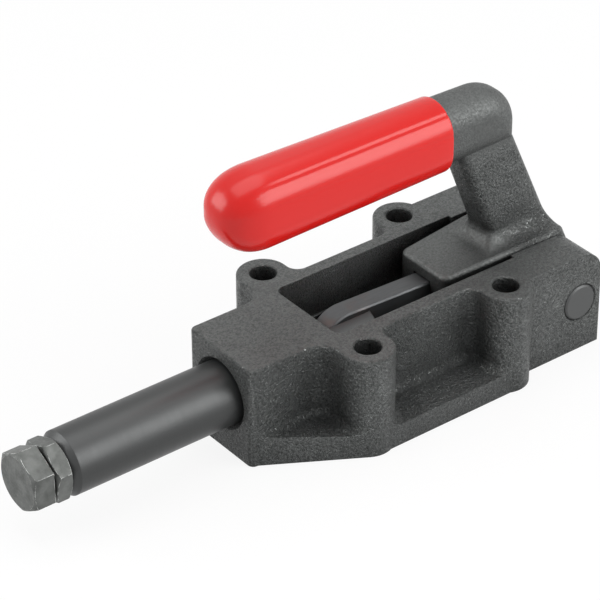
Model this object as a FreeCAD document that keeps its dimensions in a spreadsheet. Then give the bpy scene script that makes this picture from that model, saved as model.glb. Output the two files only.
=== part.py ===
import FreeCAD, Part
import math
import os
import re
import Sketcher

# Push-pull clamp in millimetres.
# +X is the way the plunger pushes and +Z is up. The origin is the centre of the four bolt holes on the base.

SIZES = {
    # cast body: lengths along X
    "front_x": (67.4, "front face of the body"),
    "channel_front_x": (32.5, "front wall of the linkage channel"),
    "cheek_x": (-42.0, "front end of the machined slot between the rear cheeks"),
    "rear_x": (-69.4, "rear face of the cheeks"),
    # cast body: half widths and heights
    "nose_half": (16.5, "half width of the front block"),
    "wall_half": (21.8, "half width over the channel walls"),
    "rear_half": (30.2, "half width over the rear cheeks"),
    "channel_half": (16.7, "half width of the channel"),
    "cheek_half": (15.2, "half width of the slot between the cheeks"),
    "body_top": (37.2, "height of the machined top"),
    "floor_gap": (0.4, "gap between the channel's floor and the lowest piece of the linkage"),
    "cheek_round": (9.0, "rounding of the cheeks' upper rear corner"),
    # flange and bolt bosses
    "flange_half": (35.8, "half width of the flange"),
    "flange_edge": (8.2, "flange thickness at its rim"),
    "flange_root": (10.2, "flange thickness at the channel wall"),
    "slant_start": (0.3, "how far behind the front block's rounded corner the slanting edge starts"),
    "rim_reach": (6.0, "how far the cutting shapes of the hollows reach past the flange"),
    "hole_row_x": (58.0, "hole spacing along X"),
    "hole_row_y": (55.0, "hole spacing along Y"),
    "hole_diameter": (9.0, "bolt hole"),
    "boss_radius": (9.0, "bolt boss"),
    # casting radii
    "rib_round": (4.0, "upright inside corners"),
    "rib_round_front": (7.0, "upright inside corner beside the front block"),
    "root_round": (3.0, "inside corners along the flange"),
    "rim_round": (1.0, "upper edges of the front block"),
    "nose_round": (2.2, "outer edges of the front block"),
    "channel_round": (3.0, "corners of the channel's front wall"),
    # plunger
    "plunger_diameter": (22.0, "plunger"),
    "plunger_fit": (0.05, "radial running clearance of the plunger"),
    "plunger_height": (20.5, "height of the plunger's axis"),
    "plunger_front_x": (130.5, "front end of the plunger"),
    "plunger_rear_x": (9.0, "rear end of the plunger"),
    "plunger_chamfer": (2.2, "chamfer on the plunger's front end"),
    "fork_root_x": (42.0, "bottom of the slot in the plunger"),
    "tapped_depth": (46.0, "depth of the tapped hole"),
    "mouth_chamfer": (1.6, "chamfer at the bore's mouth"),
    # linkage
    "pivot_x": (-60.5, "handle pivot"),
    "pivot_height": (18.7, "height of the handle pivot"),
    "pivot_pin_diameter": (13.0, "handle pivot pin"),
    "pivot_chamfer": (0.6, "chamfer round the pivot pin in each cheek"),
    "pivot_pin_proud": (0.3, "how far the pivot pin stands out of each cheek"),
    "arm_x": (-27.0, "joint of handle and link"),
    "arm_height": (18.65, "height of that joint, just under the line of the other two"),
    "yoke_x": (17.5, "joint of link and plunger"),
    "joint_pin_diameter": (8.0, "link pins"),
    "link_half_height": (12.0, "radius of the link's ends"),
    "link_thickness": (8.0, "link"),
    "link_side_gap": (0.3, "gap on each side of the link in its forks"),
    "link_turn_gap": (0.5, "gap round the link's end in the handle"),
    "link_turn": (137.8, "how far the link turns in the handle, in degrees"),
    "relief_x": (5.25, "centre of the eye's relief, back from the pin"),
    "relief_drop": (6.0, "centre of the eye's relief, below the pin"),
    "relief_radius": (8.0, "radius of the eye's relief"),
    # handle forging
    "lug_round": (10.7, "radius of the lug's lower front corner, round the link pin"),
    "lug_front_top": (36.2, "top of the lug at its front face"),
    "lug_rear_top": (37.4, "top of the lug at the riser"),
    "lug_half": (11.8, "half width of the lug's front face"),
    "waist_half": (13.8, "half width of the hub at the riser's foot"),
    "hub_radius": (10.5, "hub round the pivot"),
    "hub_shoulder": (8.0, "rounding of the hub's rear shoulder"),
    "hub_side_gap": (0.2, "gap on each side of the hub between the cheeks"),
    "riser_front_x": (-42.0, "foot of the riser's front face"),
    "riser_lean": (14.4, "how far the riser's front face leans forward up to the shank"),
    "riser_foot": (24.4, "riser's length along X at its foot"),
    "riser_half": (6.5, "half thickness of the riser"),
    "riser_round": (3.5, "front edges of the riser"),
    "riser_back_round": (1.8, "rear edges of the riser and the rim of the hub and lug that carries them on"),
    "flare_round": (5.0, "hollow where the riser meets the hub"),
    "lug_corner": (3.0, "upright front corners of the lug"),
    "shank_rear_x": (-50.6, "rear end of the shank"),
    "shank_front_x": (58.0, "front end of the shank"),
    "shank_round": (14.0, "shank's upper rear corner"),
    "shank_edge": (7.8, "long edges of the shank"),
    # vinyl sleeve
    "grip_rear_x": (-20.0, "open end of the sleeve"),
    "grip_front_x": (71.5, "tip of the sleeve"),
    "grip_rear_half": (10.5, "half width of the open end"),
    "grip_front_half": (12.0, "half width at the tip"),
    "grip_rear_under": (72.7, "underside of the open end"),
    "grip_front_under": (71.4, "underside of the tip"),
    "grip_rear_tall": (25.2, "height of the open end"),
    "grip_front_tall": (27.9, "height of the tip"),
    "grip_wall": (1.4, "sleeve's wall"),
    "grip_edge": (10.4, "long edges of the sleeve"),
    "grip_nose": (10.2, "rounding of the tip"),
    # screw and lock nut
    "thread_diameter": (12.0, "M12 thread"),
    "thread_fit": (0.05, "radial clearance modelled in the thread"),
    "hex_flats": (19.0, "width across flats"),
    "head_height": (7.5, "screw head"),
    "nut_height": (6.0, "lock nut"),
    "thread_chamfer": (1.2, "chamfer of the screw's end"),
    "head_gap": (0.9, "gap between nut and head"),
    "screw_length": (45.0, "screw under its head"),
    "nut_turn": (18.0, "how the nut lies, in degrees"),
    # small clearances and broken edges
    "pin_fit": (0.05, "radial running clearance of the pins"),
    "sleeve_fit": (0.05, "gap between sleeve and shank"),
    "edge_break": (0.6, "broken edges of the turned and cut pieces"),
    "hole_chamfer": (0.5, "chamfer of the bolt holes"),
}

doc = FreeCAD.newDocument("push_pull_clamp")
sheet = doc.addObject("Spreadsheet::Sheet", "Sizes")
for row, (alias, (number, meaning)) in enumerate(SIZES.items(), start=1):
    sheet.set(f"A{row}", alias)
    sheet.set(f"B{row}", str(number))
    sheet.set(f"C{row}", meaning)
    sheet.setAlias(f"B{row}", alias)
doc.recompute()


def size(text):
    """The same formula with every size's name pointing at the sheet."""
    return re.sub(r"[a-z]\w*_\w+", lambda word: "Sizes." + word.group(0), str(text))


def value(text):
    """The number that a formula of sizes gives."""
    return float(sheet.evalExpression(size(text)))


def new_body(name):
    body = doc.addObject("PartDesign::Body", name)
    body.Label = name
    return body


def new_sketch(body, name, role, offset=None):
    """A sketch on one of the body's own planes, moved along its normal."""
    sketch = body.newObject("Sketcher::SketchObject", name)
    plane = next(item for item in body.Origin.OriginFeatures if item.Role == role)
    sketch.AttachmentSupport = [(plane, "")]
    sketch.MapMode = "FlatFace"
    if offset is not None:
        sketch.setExpression("AttachmentOffset.Base.z", size(offset))
    return sketch


def pin_point(sketch, geometry, place, x, y):
    """Hold one point of a sketch at two formulas."""
    for kind, formula in (("DistanceX", x), ("DistanceY", y)):
        index = sketch.addConstraint(Sketcher.Constraint(kind, geometry, place, value(formula)))
        label = f"{kind}_{geometry}_{place}"
        sketch.renameConstraint(index, label)
        sketch.setExpression("Constraints." + label, size(formula))


def outline(sketch, points):
    """A closed outline through points given as pairs of formulas."""
    first = sketch.GeometryCount
    count = len(points)
    spots = [FreeCAD.Vector(value(x), value(y), 0) for x, y in points]
    for index in range(count):
        sketch.addGeometry(Part.LineSegment(spots[index], spots[(index + 1) % count]), False)
    for index in range(count):
        following = first + (index + 1) % count
        sketch.addConstraint(Sketcher.Constraint("Coincident", first + index, 2, following, 1))
        pin_point(sketch, first + index, 1, *points[index])


def ring(sketch, x, y, radius):
    """A circle whose centre and radius are formulas."""
    centre = FreeCAD.Vector(value(x), value(y), 0)
    circle = Part.Circle(centre, FreeCAD.Vector(0, 0, 1), value(radius))
    index = sketch.addGeometry(circle, False)
    pin_point(sketch, index, 3, x, y)
    constraint = sketch.addConstraint(Sketcher.Constraint("Radius", index, value(radius)))
    sketch.renameConstraint(constraint, f"radius_{index}")
    sketch.setExpression(f"Constraints.radius_{index}", size(radius))


def pad(body, sketch, length, both_ways=False, backwards=False):
    feature = body.newObject("PartDesign::Pad", sketch.Name + "Pad")
    feature.Profile = sketch
    feature.setExpression("Length", size(length))
    feature.SideType = "Symmetric" if both_ways else "One side"
    feature.Reversed = backwards
    doc.recompute()
    return feature


def pocket(body, sketch, depth, both_ways=False, backwards=False):
    before = body.Shape.Volume
    feature = body.newObject("PartDesign::Pocket", sketch.Name + "Pocket")
    feature.Profile = sketch
    feature.setExpression("Length", size(depth))
    feature.SideType = "Symmetric" if both_ways else "One side"
    feature.Reversed = backwards
    doc.recompute()
    if not body.Shape.Volume < before:
        raise RuntimeError(sketch.Name + " cuts nothing")
    return feature


def dress(body, kind, name, amount, test):
    """A fillet or chamfer on those edges of the body's newest feature that pass the test."""
    base = body.Tip
    names = [f"Edge{index}" for index, edge in enumerate(base.Shape.Edges, start=1) if test(edge)]
    if not names:
        raise RuntimeError("no edge found for " + name)
    feature = body.newObject("PartDesign::" + kind, name)
    feature.Base = (base, names)
    feature.setExpression("Radius" if kind == "Fillet" else "Size", size(amount))
    doc.recompute()
    if "Invalid" in feature.State:
        raise RuntimeError(f"{name}: {feature.getStatusString()}")
    return feature


def near(first, second, slack=0.01):
    return abs(first - second) < slack


def upright_at(places):
    """A test for straight upright edges that stand at one of the places (x, |y|)."""
    spots = [(value(x), value(y)) for x, y in places]

    def test(edge):
        box = edge.BoundBox
        if box.XLength > 0.01 or box.YLength > 0.01:
            return False
        return any(near(box.XMin, x) and near(abs(box.YMin), y) for x, y in spots)

    return test


def level_at(height):
    """A test for edges that lie level at one height."""
    level = value(height)

    def test(edge):
        box = edge.BoundBox
        return box.ZLength < 0.01 and near(box.ZMin, level)

    return test


def both(*tests):
    return lambda edge: all(test(edge) for test in tests)


def other_than(test):
    return lambda edge: not test(edge)


def within(low_x, high_x, low_y, high_y):
    """A test for edges that lie wholly inside a range of x and of |y|."""
    x0, x1, y0, y1 = (value(item) for item in (low_x, high_x, low_y, high_y))

    def test(edge):
        box = edge.BoundBox
        far = max(abs(box.YMin), abs(box.YMax))
        close = 0 if box.YMin < 0 < box.YMax else min(abs(box.YMin), abs(box.YMax))
        slack = 0.01
        along = x0 - slack <= box.XMin and box.XMax <= x1 + slack
        return along and y0 - slack <= close and far <= y1 + slack

    return test


def between_heights(low, high):
    bottom, top = value(low), value(high)
    return lambda edge: bottom - 0.01 <= edge.BoundBox.ZMin and edge.BoundBox.ZMax <= top + 0.01


def at_x(place):
    """A test for edges that lie wholly in one plane across the X axis."""
    plane = value(place)
    return lambda edge: near(edge.BoundBox.XMin, plane) and near(edge.BoundBox.XMax, plane)


def round_edge(radius):
    """A test for circles of one radius."""
    wanted = value(radius)
    return lambda edge: hasattr(edge.Curve, "Radius") and near(edge.Curve.Radius, wanted)


def long_edge(edge):
    """A test for the edges that run along the handle, with the rounded heel that joins them."""
    return edge.BoundBox.XLength > value("shank_round") / 2


GRIP_REAR_TOP = "(grip_rear_under + grip_rear_tall)"
GRIP_FRONT_TOP = "(grip_front_under + grip_front_tall)"


def grip_line(rear, front, x):
    """The handle's straight taper from one value to another, taken at x."""
    return f"({rear} + ({front} - {rear}) * ({x} - grip_rear_x) / (grip_front_x - grip_rear_x))"


LINK_UNDER = "min(arm_height; plunger_height) - link_half_height"
CHANNEL_FLOOR = f"(min({LINK_UNDER}; pivot_height - hub_radius) - floor_gap)"
LUG_FRONT = "(arm_x + lug_round)"
HUB_REAR = "(pivot_x - hub_radius)"
HUB_WIDTH = "2 * (cheek_half - hub_side_gap)"
RISER_REAR = "(riser_front_x - riser_foot)"
HUB_TOP = f"(lug_rear_top + riser_foot * (lug_rear_top - lug_front_top) / ({LUG_FRONT} - riser_front_x))"
SHANK_UNDER = "(grip_rear_under + grip_wall)"
FRONT_LEAN = f"(riser_lean / ({SHANK_UNDER} - lug_rear_top))"
BACK_LEAN = f"((shank_rear_x - {RISER_REAR}) / ({SHANK_UNDER} - {HUB_TOP}))"


def combine(body, name, operation, others):
    """Fuse other bodies to this one, or cut them from it."""
    joined = body.newObject("PartDesign::Boolean", name)
    joined.Type = operation
    joined.addObjects(others)
    doc.recompute()


def move_to(body, x, z):
    """Put a body that is modelled round its own axis in its place in the clamp."""
    body.setExpression("Placement.Base.x", size(x))
    body.setExpression("Placement.Base.z", size(z))
    doc.recompute()


def side_normals(body, edge):
    """The middle of an edge and the outward normals of the two faces that meet there."""
    shape = body.Tip.Shape
    middle = edge.valueAt((edge.FirstParameter + edge.LastParameter) / 2)
    normals = []
    for face in shape.ancestorsOfType(edge, Part.Face):
        normals.append(face.normalAt(*face.Surface.parameter(middle)))
    return shape, middle, normals


def inside_corner(body):
    """A test for edges where two faces meet in a hollow."""
    step = 0.02

    def test(edge):
        shape, middle, normals = side_normals(body, edge)
        if len(normals) < 2 or normals[0].isEqual(normals[1], 0.05):
            return False
        return shape.isInside(middle + (normals[0] - normals[1]) * step, 1e-4, False)

    return test


def smooth(body):
    """A test for edges where one face runs on into the next."""
    def test(edge):
        normals = side_normals(body, edge)[2]
        return len(normals) < 2 or normals[0].isEqual(normals[1], 0.05)

    return test


def mirrored(points):
    """The outline on the near side with its mirror image across the X axis."""
    return points + [(x, f"-({y})") for x, y in reversed(points)]


def side_hollow(name, low_x, high_x, wall, webs, corner_round):
    """One hollow beside the body as a cutting shape: upright walls, sloping floor, rounded foot."""
    body = new_body(name)
    past_rim = "(hole_row_y / 2 + boss_radius + rim_reach)"
    hole_y = "hole_row_y / 2"
    first_web, last_web = webs
    points = [(low_x, past_rim)]
    points += [(low_x, hole_y), (first_web, hole_y)] if first_web else []
    points += [(first_web or low_x, wall), (last_web or high_x, wall)]
    points += [(last_web, hole_y), (high_x, hole_y)] if last_web else []
    points += [(high_x, past_rim)]
    plan = new_sketch(body, name + "_plan", "XY_Plane")
    for side in (1, -1):
        outline(plan, [(x, f"{side} * ({y})") for x, y in points])
    pad(body, plan, "body_top + 1")
    columns = new_sketch(body, name + "_columns", "XY_Plane")
    for x, web in zip((low_x, high_x), webs):
        for side in (1, -1):
            if web:
                ring(columns, x, f"{side} * {hole_y}", "boss_radius")
    pocket(body, columns, "body_top + 1", backwards=True)
    floor = new_sketch(body, name + "_floor", "YZ_Plane", low_x)
    fall = "(flange_root - flange_edge) / (flange_half - wall_half)"
    for side in (1, -1):
        outline(floor, [(f"{side} * ({y})", z) for y, z in (
            ("nose_half - 1", f"flange_root + (wall_half - nose_half + 1) * {fall}"),
            (past_rim, f"flange_root + (wall_half - {past_rim}) * {fall}"),
            (past_rim, "0"),
            ("nose_half - 1", "0"),
        )])
    pocket(body, floor, f"({high_x}) - ({low_x})", backwards=True)
    corners = [(web, wall) for web in webs if web]
    dress(body, "Fillet", name + "_corners", corner_round, upright_at(corners))
    dress(body, "Fillet", name + "_foot", "root_round", both(
        between_heights("flange_edge / 2", f"flange_root + (wall_half - nose_half) * {fall} + edge_break"),
        within(low_x, high_x, "0", "hole_row_y / 2 + boss_radius"),
        other_than(at_x(low_x)), other_than(at_x(high_x))))
    return body


def body_casting():
    """Cast body: one block with the flange's outline, hollowed at its sides, then machined."""
    body = new_body("body_casting")
    rear_boss, front_boss = "-(hole_row_x / 2)", "hole_row_x / 2"
    tip_x = "(front_x - nose_round - slant_start)"
    run, rise = f"({tip_x} - hole_row_x / 2)", "(hole_row_y / 2 - nose_half)"
    slant = f"(180 deg - atan({rise} / {run}) - asin(boss_radius / sqrt({run}^2 + {rise}^2)))"
    slant_length = f"sqrt({run}^2 + {rise}^2 - boss_radius^2)"
    block = new_sketch(body, "BlockOutline", "XY_Plane")
    outline(block, mirrored([
        ("rear_x", "rear_half"),
        (rear_boss, "rear_half"),
        (rear_boss, "flange_half"),
        (front_boss, "flange_half"),
        (f"{tip_x} + {slant_length} * cos({slant})", f"nose_half + {slant_length} * sin({slant})"),
        (tip_x, "nose_half"),
        ("front_x", "nose_half"),
    ]))
    pad(body, block, "body_top")
    bosses = new_sketch(body, "Bosses", "XY_Plane")
    for x in (rear_boss, front_boss):
        for side in (1, -1):
            ring(bosses, x, f"{side} * hole_row_y / 2", "boss_radius")
    pad(body, bosses, "body_top")
    dress(body, "Fillet", "NoseCorners", "nose_round", upright_at([("front_x", "nose_half")]))
    dress(body, "Fillet", "CheekRound", "cheek_round", both(level_at("body_top"), at_x("rear_x")))
    combine(body, "SideHollows", "Cut", [
        side_hollow("middle_hollow", rear_boss, front_boss, "wall_half",
                    ("boss_radius - hole_row_x / 2", "hole_row_x / 2 - boss_radius"), "rib_round"),
        side_hollow("front_hollow", front_boss, "front_x + rim_reach", "nose_half",
                    ("hole_row_x / 2 + boss_radius", None), "rib_round_front"),
    ])

    channel = new_sketch(body, "LinkageChannel", "XY_Plane", "body_top")
    outline(channel, mirrored([
        ("rear_x - 1", "cheek_half"),
        ("cheek_x", "cheek_half"),
        ("cheek_x", "channel_half"),
        ("channel_front_x", "channel_half"),
    ]))
    pocket(body, channel, f"body_top - {CHANNEL_FLOOR}")
    front_corners = upright_at([("channel_front_x", "channel_half")])
    dress(body, "Fillet", "ChannelCorners", "channel_round", front_corners)

    bore = new_sketch(body, "PlungerBore", "YZ_Plane", "front_x")
    ring(bore, "0", "plunger_height", "plunger_diameter / 2 + plunger_fit")
    pocket(body, bore, "front_x - channel_front_x + 1")
    dress(body, "Chamfer", "BoreMouth", "mouth_chamfer", both(
        at_x("front_x"), round_edge("plunger_diameter / 2 + plunger_fit")))

    holes = new_sketch(body, "BoltHoles", "XY_Plane", "body_top")
    for end in (1, -1):
        for side in (1, -1):
            ring(holes, f"{end} * hole_row_x / 2", f"{side} * hole_row_y / 2", "hole_diameter / 2")
    pocket(body, holes, "body_top + 1")
    dress(body, "Chamfer", "HoleMouths", "hole_chamfer", both(
        level_at("body_top"), round_edge("hole_diameter / 2")))

    pin_hole = new_sketch(body, "PivotHole", "XZ_Plane")
    ring(pin_hole, "pivot_x", "pivot_height", "pivot_pin_diameter / 2")
    pocket(body, pin_hole, "2 * rear_half + 2", both_ways=True)
    dress(body, "Chamfer", "PivotMouth", "pivot_chamfer", both(
        round_edge("pivot_pin_diameter / 2"),
        lambda edge: abs(edge.CenterOfMass.y) > value("cheek_half + edge_break")))
    dress(body, "Fillet", "NoseTop", "rim_round", both(
        level_at("body_top"), lambda edge: edge.BoundBox.XMin > value("hole_row_x / 2 + boss_radius") and
        edge.BoundBox.XMax > value("front_x - nose_round - 1")))


def plunger():
    """Round bar, forked at the back for the link and tapped at the front for the screw."""
    body = new_body("plunger")
    bar = new_sketch(body, "PlungerBar", "YZ_Plane", "plunger_rear_x")
    ring(bar, "0", "plunger_height", "plunger_diameter / 2")
    pad(body, bar, "plunger_front_x - plunger_rear_x")
    dress(body, "Chamfer", "FrontChamfer", "plunger_chamfer", at_x("plunger_front_x"))
    dress(body, "Chamfer", "RearChamfer", "edge_break", at_x("plunger_rear_x"))

    fork = new_sketch(body, "ForkSlot", "YZ_Plane", "plunger_rear_x")
    half = "(link_thickness / 2 + link_side_gap)"
    low = "plunger_height - plunger_diameter / 2 - 1"
    high = "plunger_height + plunger_diameter / 2 + 1"
    outline(fork, [(half, low), (half, high), (f"-{half}", high), (f"-{half}", low)])
    pocket(body, fork, "fork_root_x - plunger_rear_x", backwards=True)

    tapped = new_sketch(body, "TappedHole", "YZ_Plane", "plunger_front_x")
    ring(tapped, "0", "plunger_height", "thread_diameter / 2 + thread_fit")
    pocket(body, tapped, "tapped_depth")

    cross = new_sketch(body, "CrossHole", "XZ_Plane")
    ring(cross, "yoke_x", "plunger_height", "joint_pin_diameter / 2")
    pocket(body, cross, "plunger_diameter + 2", both_ways=True)


def toggle_link():
    """Flat bar between handle and plunger; its front eye is a hook, open downwards."""
    body = new_body("toggle_link")
    length = "sqrt((yoke_x - arm_x)^2 + (plunger_height - arm_height)^2)"
    bar = new_sketch(body, "LinkBar", "XZ_Plane")
    outline(bar, [
        ("0", "link_half_height"), (length, "link_half_height"),
        (length, "-link_half_height"), ("0", "-link_half_height"),
    ])
    pad(body, bar, "link_thickness", both_ways=True)
    for name, x in (("RearEnd", "0"), ("FrontEnd", length)):
        end = new_sketch(body, name, "XZ_Plane")
        ring(end, x, "0", "link_half_height")
        pad(body, end, "link_thickness", both_ways=True)
    dress(body, "Chamfer", "LinkEdges", "edge_break", lambda edge: near(edge.BoundBox.YLength, 0))

    rear_eye = new_sketch(body, "RearEye", "XZ_Plane")
    ring(rear_eye, "0", "0", "joint_pin_diameter / 2 + pin_fit")
    pocket(body, rear_eye, "link_thickness + 2", both_ways=True)

    relief = f"({length} - relief_x)"
    eye_radius = "(joint_pin_diameter / 2 + pin_fit)"
    axis = "atan(relief_drop / relief_x)"
    spread = f"acos((relief_radius - {eye_radius}) / sqrt(relief_x^2 + relief_drop^2))"
    throat = new_sketch(body, "EyeThroat", "XZ_Plane")
    outline(throat, [
        (f"{x} + {radius} * cos({axis} {turn} {spread})", f"{z} + {radius} * sin({axis} {turn} {spread})")
        for x, z, radius, turn in (
            (relief, "-(relief_drop)", "relief_radius", "+"),
            (length, "0", eye_radius, "+"),
            (length, "0", eye_radius, "-"),
            (relief, "-(relief_drop)", "relief_radius", "-"),
        )
    ])
    pocket(body, throat, "link_thickness + 2", both_ways=True)
    for name, x, z, radius in (
        ("EyeSeat", length, "0", eye_radius),
        ("EyeRelief", relief, "-(relief_drop)", "relief_radius"),
    ):
        eye = new_sketch(body, name, "XZ_Plane")
        ring(eye, x, z, radius)
        pocket(body, eye, "link_thickness + 2", both_ways=True)

    slope = "atan((plunger_height - arm_height) / (yoke_x - arm_x))"
    turn = FreeCAD.Rotation(FreeCAD.Vector(0, -1, 0), value(slope))
    body.Placement = FreeCAD.Placement(FreeCAD.Vector(), turn)
    body.setExpression("Placement.Rotation.Angle", size(slope))
    move_to(body, "arm_x", "arm_height")


def taper_sides(body, name, first_x, last_x, inset):
    """Cut both sides of a grip-like pad to the sleeve's taper, less an inset."""
    sketch = new_sketch(body, name, "XY_Plane")
    for side in (1, -1):
        outline(sketch, [
            (x, f"{side} * ({grip_line('grip_rear_half', 'grip_front_half', x)} - ({inset}))")
            for x in (f"{first_x} - 1", f"{last_x} + 1")
        ] + [(x, f"{side} * (grip_front_half + 2)") for x in (f"{last_x} + 1", f"{first_x} - 1")])
    pocket(body, sketch, f"4 * {GRIP_FRONT_TOP}", both_ways=True)


def grip_side(sketch, first_x, last_x, inset):
    """Side view of the sleeve, or of what lies an inset inside it."""
    points = []
    for x in (first_x, last_x):
        points.append((x, grip_line(GRIP_REAR_TOP, GRIP_FRONT_TOP, x) + f" - ({inset})"))
    for x in (last_x, first_x):
        points.append((x, grip_line("grip_rear_under", "grip_front_under", x) + f" + ({inset})"))
    outline(sketch, points)


def along_riser(edge):
    """A test for the riser's long upright edges."""
    box = edge.BoundBox
    on_side = box.YLength < 0.01 and near(abs(box.YMin), value("riser_half"))
    return on_side and box.ZLength > value("riser_foot")


def shank_bar():
    """The bar inside the sleeve, rounded over at its heel."""
    body = new_body("shank_bar")
    shank = new_sketch(body, "ShankSide", "XZ_Plane")
    grip_side(shank, "shank_rear_x", "shank_front_x", "grip_wall")
    pad(body, shank, "2 * grip_front_half", both_ways=True)
    taper_sides(body, "ShankTaper", "shank_rear_x", "shank_front_x", "grip_wall")
    dress(body, "Fillet", "ShankHeel", "shank_round", both(
        at_x("shank_rear_x"),
        lambda edge: edge.BoundBox.ZMin > value("grip_rear_under + grip_rear_tall / 2")))
    dress(body, "Fillet", "ShankEdges", "shank_edge", long_edge)
    return body


def hub_block():
    """Hub between the cheeks and, in front of it, the lug that forks over the link."""
    body = new_body("hub_block")
    hub = new_sketch(body, "HubSide", "XZ_Plane")
    run, rise = "(arm_x - pivot_x)", "(arm_height - pivot_height)"
    under = f"(atan({rise} / {run}) + asin((hub_radius - lug_round) / sqrt({run}^2 + {rise}^2)))"
    outline(hub, [
        (f"pivot_x + hub_radius * sin({under})", f"pivot_height - hub_radius * cos({under})"),
        (f"arm_x + lug_round * sin({under})", f"arm_height - lug_round * cos({under})"),
        ("arm_x", "arm_height"),
        (LUG_FRONT, "arm_height"),
        (LUG_FRONT, "lug_front_top"),
        ("riser_front_x", "lug_rear_top"),
        (RISER_REAR, HUB_TOP),
        (HUB_REAR, f"{HUB_TOP} - ({RISER_REAR} - {HUB_REAR}) / {BACK_LEAN}"),
        (HUB_REAR, "pivot_height"),
        ("pivot_x", "pivot_height"),
    ])
    pad(body, hub, HUB_WIDTH, both_ways=True)
    for name, x, z, radius in (
        ("HubRound", "pivot_x", "pivot_height", "hub_radius"),
        ("LugRound", "arm_x", "arm_height", "lug_round"),
    ):
        corner = new_sketch(body, name, "XZ_Plane")
        ring(corner, x, z, radius)
        pad(body, corner, HUB_WIDTH, both_ways=True)
    sides = new_sketch(body, "LugTaper", "XY_Plane")
    for side in (1, -1):
        outline(sides, [
            ("pivot_x + 2", f"{side} * (cheek_half - hub_side_gap)"),
            ("riser_front_x", f"{side} * waist_half"),
            (LUG_FRONT, f"{side} * lug_half"),
            (f"{LUG_FRONT} + 1", f"{side} * lug_half"),
            (f"{LUG_FRONT} + 1", f"{side} * (cheek_half + 1)"),
            ("pivot_x + 2", f"{side} * (cheek_half + 1)"),
        ])
    pocket(body, sides, "body_top + 5", backwards=True)
    dress(body, "Fillet", "HubShoulder", "hub_shoulder", lambda edge: (
        edge.BoundBox.YLength > value("cheek_half") and near(edge.BoundBox.XMax, value(HUB_REAR)) and
        edge.BoundBox.ZMin > value("pivot_height + lug_corner")))
    dress(body, "Fillet", "LugCorners", "lug_corner", both(
        upright_at([(LUG_FRONT, "lug_half")]), between_heights("arm_height", "lug_front_top")))
    return body


def handle_lever():
    """Handle forging: riser, with the shank on top and the hub and lug at its foot."""
    body = new_body("handle_lever")
    riser = new_sketch(body, "RiserSide", "XZ_Plane")
    middle = "(grip_rear_under + grip_rear_tall / 2)"
    foot = "(lug_rear_top - 3)"
    outline(riser, [
        (f"riser_front_x + ({foot} - lug_rear_top) * {FRONT_LEAN}", foot),
        (f"riser_front_x + ({middle} - lug_rear_top) * {FRONT_LEAN}", middle),
        (f"{RISER_REAR} + ({middle} - {HUB_TOP}) * {BACK_LEAN}", middle),
        (f"{RISER_REAR} + ({foot} - {HUB_TOP}) * {BACK_LEAN}", foot),
    ])
    pad(body, riser, "2 * riser_half", both_ways=True)
    combine(body, "ShankAndHub", "Fuse", [shank_bar(), hub_block()])
    dress(body, "Fillet", "RiserFlare", "flare_round", both(
        between_heights("lug_rear_top", HUB_TOP), within(RISER_REAR, "riser_front_x", "0", "riser_half"),
        other_than(at_x(RISER_REAR))))
    dress(body, "Fillet", "RiserFront", "riser_round", both(
        along_riser, lambda edge: edge.BoundBox.XMax > value("riser_front_x + riser_lean")))
    dress(body, "Fillet", "RiserBack", "riser_back_round", both(
        along_riser, lambda edge: edge.BoundBox.XMin < value("riser_front_x - riser_foot / 2")))

    slot = new_sketch(body, "LinkSlot", "XZ_Plane")
    length = "sqrt((yoke_x - arm_x)^2 + (plunger_height - arm_height)^2)"
    slope = "((plunger_height - arm_height) / (yoke_x - arm_x))"
    reach = "(link_half_height + link_turn_gap)"
    turned = f"(atan({slope}) - link_turn * 1 deg)"
    limit_x = f"arm_x + {reach} * sin({turned})"
    limit_z = f"arm_height - {reach} * cos({turned})"
    outline(slot, [
        (f"{LUG_FRONT} + 1", f"arm_height + {reach} + ({LUG_FRONT} + 1 - arm_x) * {slope}"),
        ("arm_x", f"arm_height + {reach}"),
        (limit_x, limit_z),
        (f"{limit_x} + {length} * cos({turned})", f"{limit_z} + {length} * sin({turned})"),
        (f"{limit_x} + {length} * cos({turned})", "0"),
        (f"{LUG_FRONT} + 1", "0"),
    ])
    slot_width = "link_thickness + 2 * link_side_gap"
    pocket(body, slot, slot_width, both_ways=True)
    slot_round = new_sketch(body, "LinkSlotRound", "XZ_Plane")
    ring(slot_round, "arm_x", "arm_height", reach)
    pocket(body, slot_round, slot_width, both_ways=True)

    for name, x, z, radius in (
        ("PivotHole", "pivot_x", "pivot_height", "pivot_pin_diameter / 2 + pin_fit"),
        ("LinkPinHole", "arm_x", "arm_height", "joint_pin_diameter / 2"),
    ):
        hole = new_sketch(body, name, "XZ_Plane")
        ring(hole, x, z, radius)
        pocket(body, hole, "2 * cheek_half + 2", both_ways=True)


def handle_grip():
    """Dipped vinyl sleeve over the shank, closed and rounded at its tip."""
    body = new_body("handle_grip")
    side = new_sketch(body, "SleeveSide", "XZ_Plane")
    grip_side(side, "grip_rear_x", "grip_front_x", "0")
    pad(body, side, "2 * grip_front_half + 2", both_ways=True)
    taper_sides(body, "SleeveTaper", "grip_rear_x", "grip_front_x", "0")
    dress(body, "Fillet", "SleeveEdges", "grip_edge", long_edge)
    dress(body, "Fillet", "SleeveTip", "grip_nose", at_x("grip_front_x"))

    core = new_body("sleeve_core")
    inset = "grip_wall - sleeve_fit"
    last_x = "shank_front_x + sleeve_fit"
    core_side = new_sketch(core, "CoreSide", "XZ_Plane")
    grip_side(core_side, "grip_rear_x - grip_wall", last_x, inset)
    pad(core, core_side, "2 * grip_front_half + 2", both_ways=True)
    taper_sides(core, "CoreTaper", "grip_rear_x - grip_wall", last_x, inset)
    dress(core, "Fillet", "CoreEdges", "shank_edge", long_edge)
    combine(body, "SleeveHollow", "Cut", [core])


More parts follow.
